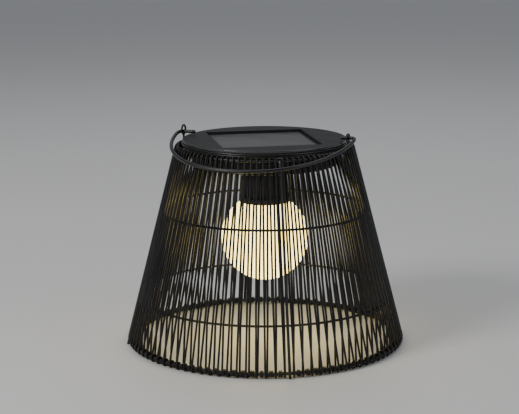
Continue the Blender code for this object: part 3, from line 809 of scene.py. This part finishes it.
bend = [(-HALF + corner * 0.42, 0.9), (-HALF + 0.7, 3.4)]
flat = (stub(TIP_LEFT - SHIFT, -HALF + corner) + bend + [q for q in bow if q[1] > 7.0] +
        [(-x, d) for x, d in reversed(bend)] + stub(TIP_RIGHT - SHIFT, HALF - corner)[::-1])


def smooth_path(pts, per=3):
    """Centripetal Catmull-Rom curve through the points."""
    p = [np.array(q, float) for q in pts]
    p = [2 * p[0] - p[1]] + p + [2 * p[-1] - p[-2]]
    out = []
    for i in range(1, len(p) - 2):
        p0, p1, p2, p3 = p[i - 1:i + 3]
        t0 = 0.0
        t1 = t0 + max(1e-9, np.linalg.norm(p1 - p0)) ** 0.5
        t2 = t1 + max(1e-9, np.linalg.norm(p2 - p1)) ** 0.5
        t3 = t2 + max(1e-9, np.linalg.norm(p3 - p2)) ** 0.5
        for k in range(per):
            t = t1 + (t2 - t1) * k / per
            a1 = (t1 - t) / (t1 - t0) * p0 + (t - t0) / (t1 - t0) * p1
            a2 = (t2 - t) / (t2 - t1) * p1 + (t - t1) / (t2 - t1) * p2
            a3 = (t3 - t) / (t3 - t2) * p2 + (t - t2) / (t3 - t2) * p3
            b1 = (t2 - t) / (t2 - t0) * a1 + (t - t0) / (t2 - t0) * a2
            b2 = (t3 - t) / (t3 - t1) * a2 + (t - t1) / (t3 - t1) * a3
            out.append((t2 - t) / (t2 - t1) * b1 + (t - t1) / (t2 - t1) * b2)
    out.append(p[-2])
    return [tuple(q) for q in out]


line = [bail(x, d) for x, d in smooth_path(flat, 2)]
show("handle_rod", mesh_of(*sweep(mm(line), 1.9 * MM, 20, round_ends=4, squash=0.5)), PAINT, "handle", "handle",
     60)

# ----------------------------------------------------------------- solar lid
ROT = 28.0
LID_R, LID_TOP_R, LID_TOP = 88.2, 87.2, 219.7
PX, PY = 52.5, 53.8
CX, CY = -1.88, -0.745             # recess centre in the unit
RECESS, WELL_UNDER = 214.0, 212.7
BOSSES = [(0, -68.0), (68.0, 0), (0, 68.0), (-68.0, 0)]
outline = [(0, LID_TOP), (LID_TOP_R, LID_TOP), (LID_TOP_R - 0.2, LID_TOP - 2.5), (LID_TOP_R - 1.0, LID_TOP - 2.8),
           (LID_TOP_R - 1.0, LID_TOP - 3.15), (LID_R, LID_TOP - 3.35), (LID_R, 215.3), (81.0, 215.3),
           (81.0, 208.0), (78.4, 208.0), (78.4, 217.4), (0, 217.4)]
radii = [0, 0.75, 0.4, 0.25, 0.2, 0.5, 0.45, 0.4, 0.4, 0.4, 0.6, 0]
lid = temp(lathe(fillet(outline, radii, 5), 192, rot=ROT))
well = slab((2 * PX + 4.4, 2 * PY + 4.4, LID_TOP - 1.0 - WELL_UNDER), (CX, CY, (LID_TOP - 1.0 + WELL_UNDER) / 2), ROT)
recess = slab((2 * PX, 2 * PY, 10), (CX, CY, RECESS + 5.0), ROT, corner=1.0)
chamfer = slab((2 * PX + 0.9, 2 * PY + 0.9, 1.0), (CX, CY, LID_TOP + 0.2), ROT, corner=1.4)
me = solid(lid, [well] + [post_form(4.0, 206.2, 218.5, b, ROT) for b in BOSSES],
           [recess, chamfer] + [post_form(1.75, 204, 216.6, b, ROT) for b in BOSSES] +
           [post_form(4.0, 210, 217, (0, 40), ROT)])
show("lid_shell", me, LID, SHADE, "lid", 32)

frame_out = slab((2 * PX - 0.8, 2 * PY - 0.8, 0.6), (CX, CY, 214.6), ROT, corner=1.0)
me = solid(frame_out, cuts=(slab((2 * PX - 14, 2 * PY - 14, 4), (CX, CY, 214.6), ROT, corner=3.0),), bevel=0.12)
show("panel_seal_pad", me, SEAL, SHADE, "panel_seal")
show("solar_cells", take(slab((2 * PX - 0.8, 2 * PY - 0.8, 0.8), (CX, CY, 215.6), ROT, corner=1.0, bevel=0.12)), CELL,
     SHADE, "solar_cell_board")
show("panel_cover", take(slab((2 * PX - 0.8, 2 * PY - 0.8, 0.8), (CX, CY, 216.7), ROT, corner=1.0, bevel=0.2)),
     COVER, SHADE, "panel_glass")

# ------------------------------------------------------------- lower housing
HR, HF = 77.7, 193.0
BY, BAY_X, BAY_Y = -43.0, 57.0, 16.0
SX, SY = 46.0, 30.0
prof = [(HR, 212.3), (HR, 205.6), (81.0, 205.6), (81.0, 203.4), (HR, 203.4), (HR, HF), (0, HF), (0, HF + 2.0),
        (HR - 2.0, HF + 2.0), (HR - 2.0, 212.3)]
rad = [0.3, 0.4, 0.5, 0.5, 0.5, 1.6, 0, 0, 0.8, 0.3]
body = fillet(prof, rad, 4, closed=True)
housing = temp(lathe(body, 160, closed=True, rot=ROT))
rails = [slab((60.0, 3.6, 4.0), (0, BY + s * 11.9, 191.6), ROT) for s in (-1, 1)]
me = solid(housing, [post_form(4.0, HF + 0.5, 205.9, b, ROT) for b in BOSSES] + rails,
           [slab((70.0, 22.8, 2.2), (0, BY, 191.9), ROT)] +
           [post_form(1.75, 190, 208, b, ROT) for b in BOSSES] +
           [post_form(3.15, 190, 195.6, b, ROT) for b in BOSSES] +
           [slab((BAY_X, BAY_Y, 8), (0, BY, 194), ROT, corner=1.5), slab((10, 4, 8), (SX, SY, 194), ROT, corner=0.8),
            slab((15.0, 8.0, 1.2), (SX, SY, 193.0), ROT, corner=1.5), post_form(15.3, 190, 198, (0, 0), ROT, 96)])
show("housing_shell", me, INNER, SHADE, "lamp_housing", 32)
show("housing_gasket", mesh_of(*lathe(fillet([(80.6, 207.6), (80.6, 205.95), (78.8, 205.95), (78.8, 207.6)], 0.6, 4,
     closed=True), 128, closed=True)), SEAL, SHADE, "housing_seal")
for i, b in enumerate(BOSSES):
    p = [(0, 213.5), (0.5, 213.1), (1.2, 212.0)]
    z = 211.6
    while z > 197.0:
        p += [(1.42, z - 0.25), (1.15, z - 0.5)]
        z -= 0.6
    p += [(1.2, 195.3), (2.75, 195.3), (2.75, 194.2), (2.45, 193.6), (1.6, 193.3), (0, 193.3)]
    s = temp(lathe(p, 32, rot=ROT, xy=b))
    me = solid(s, cuts=(slab((3.2, 0.7, 1.7), (b[0], b[1], 193.4), ROT), slab((0.7, 3.2, 1.7), (b[0], b[1], 193.4), ROT)))
    show("housing_screw_%d_fine" % (i + 1), me, STEEL, SHADE, "housing_screw_%d" % (i + 1))

# -------------------------------------------------------------- battery bay
holder = slab((BAY_X + 3, BAY_Y + 3, 16.8), (0, BY, 203.8), ROT, corner=1.2)
me = solid(holder, cuts=(slab((BAY_X, BAY_Y, 16.8), (0, BY, 202.3), ROT, corner=0.6),), bevel=0.25)
show("battery_bay", me, INNER, SHADE, "battery_holder")
cell_p = fillet([(0, 24.9), (2.6, 24.9), (2.7, 23.6), (7.2, 23.6), (7.2, -24.0), (4.8, -24.2), (0, -24.2)],
                [0, 0.4, 0.2, 0.7, 0.9, 0.1, 0], 4)
v, f = lathe(cell_p, 64)
spin = Matrix.Rotation(math.radians(ROT), 3, 'Z')
lay = spin @ Matrix.Rotation(math.radians(90), 3, 'Y')
BZ = 202.6
v = [tuple(lay @ Vector(q) + spin @ Vector((0, BY * MM, BZ * MM))) for q in v]
show("battery_cell", mesh_of(v, f), SLEEVE, SHADE, "battery")
cap = lathe(fillet([(0, 25.0), (2.65, 25.0), (2.75, 23.9), (5.2, 23.9), (5.2, 23.62), (0, 23.62)], 0.2, 3), 48)
cap2 = lathe(fillet([(0, -24.1), (5.4, -24.1), (5.4, -24.3), (0, -24.3)], 0.05, 2), 48)
v, f = merge([cap, cap2])
v = [tuple(lay @ Vector(q) + spin @ Vector((0, BY * MM, BZ * MM))) for q in v]
show("battery_poles", mesh_of(v, f), NICKEL, SHADE, None)
show("contact_plate", take(slab((0.5, 11.0, 12.0), (26.6, BY, BZ), ROT, bevel=0.12)), NICKEL, SHADE,
     "battery_contact_plus")
coil = []
for i in range(3 * 28 + 1):
    g = i / (3 * 28)
    a = 2 * math.pi * 3 * g
    rr = 4.6 - 2.2 * g
    coil.append(tuple(spin @ Vector((-27.6 + 2.6 * g, BY + rr * math.cos(a), BZ + rr * math.sin(a)))))
show("contact_spring", mesh_of(*sweep(mm(coil), 0.32 * MM, 10)), NICKEL, SHADE, "battery_spring")
cover = slab((66.0, 22.0, 1.5), (1.0, BY, 191.9), ROT, corner=1.6)
me = solid(cover, cuts=[slab((0.9, 12.0, 1.2), (-22.0 + 2.4 * i, BY, 191.15), ROT, corner=0.4) for i in range(4)],
           bevel=0.22)
show("battery_door", me, INNER, "battery_cover", "battery_cover")

# -------------------------------------------------------------- slide switch
me = solid(slab((11.0, 6.0, 5.2), (SX, SY, 198.0), ROT, bevel=0.25))
show("switch_case", me, SWITCH, SHADE, "switch_body")
knob = slab((4.0, 3.2, 4.6), (SX - 2.0, SY, 192.7), ROT, bevel=0.3)
me = solid(knob, cuts=[slab((0.35, 4.0, 0.7), (SX - 2.0 + dx, SY, 190.5), ROT) for dx in (-1.1, -0.37, 0.37, 1.1)])
show("switch_knob", me, SWITCH, "switch_slider", "switch_slider")

# ------------------------------------------------------------ circuit board
pcb = slab((44.0, 24.0, 1.4), (-10.0, 46.0, 199.5), ROT, corner=1.0)
me = solid(pcb, cuts=[post_form(1.1, 198, 201, (x, y), ROT, 24) for x in (-29.5, 9.5) for y in (36.5, 55.5)])
show("control_pcb", me, BOARD, SHADE, "control_board")
chips = [slab((5.0, 4.0, 1.5), (-16, 46, 201.0), ROT, bevel=0.2), slab((3.0, 1.6, 1.0), (-24, 41, 200.75), ROT, bevel=0.15),
         slab((3.0, 3.0, 1.0), (-6.5, 52, 200.75), ROT, bevel=0.15), slab((2.0, 1.2, 0.7), (-24, 50, 200.6), ROT, bevel=0.1)]
show("board_chips", glue(*chips), CHIP, SHADE, None)
pins = []
for k in range(4):
    for s in (-1, 1):
        pins.append(slab((0.4, 1.1, 0.3), (-17.9 + 1.27 * k, 46 + s * 2.5, 200.4), ROT, bevel=0.08))
pins += [post_form(0.9, 200.25, 200.9, q, ROT, 20) for q in ((-8, 40.5), (-8, 37), (-6, 35.8), (4.5, 35.8), (9, 50))]
show("board_solder", glue(*pins), SOLDER, SHADE, None)
core = lathe(fillet([(0, 206), (4.2, 206), (4.2, 205.2), (3.4, 205.0), (3.4, 201.6), (4.2, 201.4), (4.2, 200.5), (0, 200.5)], 0.15, 2),
             48, rot=ROT, xy=(0, 46))
turns = []
for i in range(9 * 24 + 1):
    a = 2 * math.pi * i / 24
    turns.append(tuple(spin @ Vector((3.45 * math.cos(a), 46 + 3.45 * math.sin(a), 201.75 + 3.1 * i / 216))))
show("coil_winding", mesh_of(*merge([core, sweep(mm(turns), 0.18 * MM, 8)])), COPPER, SHADE, "charge_coil")

# ------------------------------------------------------------- neck and lamp
NR, NB = 24.0, 152.2
neck_p = [(15.0, 201.5), (15.0, 192.7), (NR, 192.7), (NR, NB), (22.0, NB), (22.0, 189.5), (12.0, 189.5), (12.0, 201.5)]
p = fillet(neck_p, [0.4, 0.3, 1.8, 0.4, 0.3, 1.0, 0.5, 0.3], 5, closed=True)
neck = temp(lathe(p, 128, closed=True))
bands = [temp(lathe(fillet([(NR + 0.5, z + 0.7), (NR + 0.5, z - 0.7), (NR - 0.6, z - 0.7), (NR - 0.6, z + 0.7)], 0.3, 3,
                           closed=True), 128, closed=True)) for z in (186.5,)]
show("neck_tube", solid(neck, bands), INNER, SHADE, "lamp_neck", 32)
nut = temp(lathe(fillet([(20.5, 199.2), (20.5, 195.35), (15.4, 195.35), (15.4, 199.2)], 0.4, 3, closed=True), 96, closed=True))
grips = []
for i in range(16):
    a = 2 * math.pi * i / 16
    grips.append(post_form(0.9, 194, 200, (20.9 * math.cos(a), 20.9 * math.sin(a)), 0, 16))
show("neck_nut_fine", solid(nut, cuts=grips), INNER, SHADE, "neck_nut", 40)
show("led_plate", mesh_of(*lathe(fillet([(0, 168.0), (20.8, 168.0), (20.8, 166.4), (0, 166.4)], 0.2, 2), 96)), WHITE, SHADE,
     "led_board")
show("led_dome", mesh_of(*lathe(fillet([(0, 166.1), (4.2, 166.1), (4.2, 164.9), (3.7, 162.8), (2.2, 161.2), (0, 160.8)],
     [0, 0.2, 0.3, 1.2, 1.5, 0], 5), 64)), PHOSPHOR, SHADE, "led_lens")

ring_p = fillet([(27.4, 158.4), (27.6, 152.0), (24.4, 152.0), (24.4, 158.4)], [0.7, 0.5, 0.3, 0.4], 4, closed=True)
rg = temp(lathe(ring_p, 192, closed=True))
notch = []
for i in range(36):
    a = 2 * math.pi * i / 36
    notch.append(post_form(0.55, 153.0, 159.2, (27.75 * math.cos(a), 27.75 * math.sin(a)), 0, 12))
show("globe_collar", solid(rg, cuts=notch), INNER, "globe", "globe_ring", 40)

GR, GZ, GM, NI = 46.7, 113.0, 151.4, 21.4
outer, inner = [], []
a0 = math.acos((GM - GZ) / GR)
for i in range(61):
    a = a0 + (math.pi - a0) * i / 60
    outer.append((GR * math.sin(a) if i < 60 else 0.0, GZ + GR * math.cos(a)))
a1 = math.acos((GM - 1.6 - GZ) / (GR - 1.6))
for i in range(49):
    a = math.pi - (math.pi - a1) * i / 48
    inner.append(((GR - 1.6) * math.sin(a) if i else 0.0, GZ + (GR - 1.6) * math.cos(a)))
prof = [(NI, 161.5), (NI, GM + 0.6), (NI + 0.5, GM)] + outer
v, f = lathe(prof, 128)
v2, f2 = lathe(inner + [(NI - 1.0, GM - 1.6), (NI - 1.6, GM - 1.0), (NI - 1.6, 161.5)], 128)
v, f = merge([(v, f), (v2, f2)])
base = len(v) - 128
f += [(base + (k + 1) % 128, base + k, k, (k + 1) % 128)[::-1] for k in range(128)]
show("globe_shell", mesh_of(v, f), OPAL, "globe", "globe", 50)

# -------------------------------------------------------------------- wiring
LEADS = {
    "panel_lead_red": ([(-1.2, 40.5, 214.7), (-1.2, 40.5, 209.5), (-4.5, 40.5, 204.5), (-8.0, 40.5, 201.0)], RED, "wire_red"),
    "panel_lead_black": ([(1.2, 38.5, 214.7), (1.2, 38.5, 209.0), (-3.5, 37.5, 204.5), (-8.0, 37.0, 201.0)], BLACK, "wire_black"),
    "lamp_lead_red": ([(-1.5, 6.0, 168.5), (-1.5, 6.0, 200.0), (-3.5, 10.0, 205.0), (-5.0, 24.0, 205.0), (-6.0, 35.8, 203.5),
                       (-6.0, 35.8, 200.9)], RED, "wire_red"),
    "lamp_lead_black": ([(1.5, 6.0, 168.5), (1.5, 6.0, 200.0), (3.0, 10.0, 205.0), (4.5, 24.0, 205.0), (4.5, 35.8, 203.5),
                         (4.5, 35.8, 200.9)], BLACK, "wire_black"),
    "switch_lead": ([(44.0, 33.6, 198.5), (40.0, 38.0, 199.0), (30.0, 44.0, 201.5), (16.0, 48.0, 203.0), (9.0, 50.0, 201.5),
                     (9.0, 50.0, 200.9)], BLACK, "wire_black"),
}
for name, (pts, mat, slot_name) in LEADS.items():
    pts = [tuple(spin @ Vector(q)) for q in smooth_path(pts, 10)]
    show(name + "_fine", mesh_of(*sweep(mm(pts), 0.55 * MM, 12)), mat, SHADE, name)

# -------------------------------------------------------------- studio
floor_m = Mat("floor_matt", (0.88, 0.87, 0.855), 0.6)
floor_m.bump(floor_m.noise(60, 3.0), 0.0002, 0.1)
floor = bpy.data.objects.new("floor", mesh_of([(-30, -30, 0), (30, -30, 0), (30, 30, 0), (-30, 30, 0)], [(0, 1, 2, 3)]))
floor.data.materials.append(floor_m.m)
bpy.context.scene.collection.objects.link(floor)


def area(name, power, size, at, to=(0, 0, 0.12), colour=(1, 1, 1)):
    d = bpy.data.lights.new(name, 'AREA')
    d.energy = power
    d.shape = 'RECTANGLE'
    d.size, d.size_y = size
    d.color = colour
    o = bpy.data.objects.new(name, d)
    o.location = at
    o.rotation_euler = (Vector(to) - Vector(at)).to_track_quat('-Z', 'Y').to_euler()
    bpy.context.scene.collection.objects.link(o)
    return o


def around(az, dist, z):
    a = math.radians(az) + CAM_AZ
    return (math.sin(a) * dist, -math.cos(a) * dist, z)


area("key_left", 17, (0.7, 0.5), around(-52, 1.7, 1.25), colour=(1, 0.985, 0.96))
area("fill_right", 5, (1.2, 1.2), around(58, 2.0, 0.8), colour=(0.96, 0.98, 1))
area("top_soft", 9, (1.6, 1.6), around(175, 1.1, 2.1), colour=(1, 1, 1))
world = bpy.data.worlds.new("studio")
world.use_nodes = True
bg = world.node_tree.nodes["Background"]
bg.inputs["Color"].default_value = (0.62, 0.65, 0.70, 1)
bg.inputs["Strength"].default_value = 0.35
bpy.context.scene.world = world
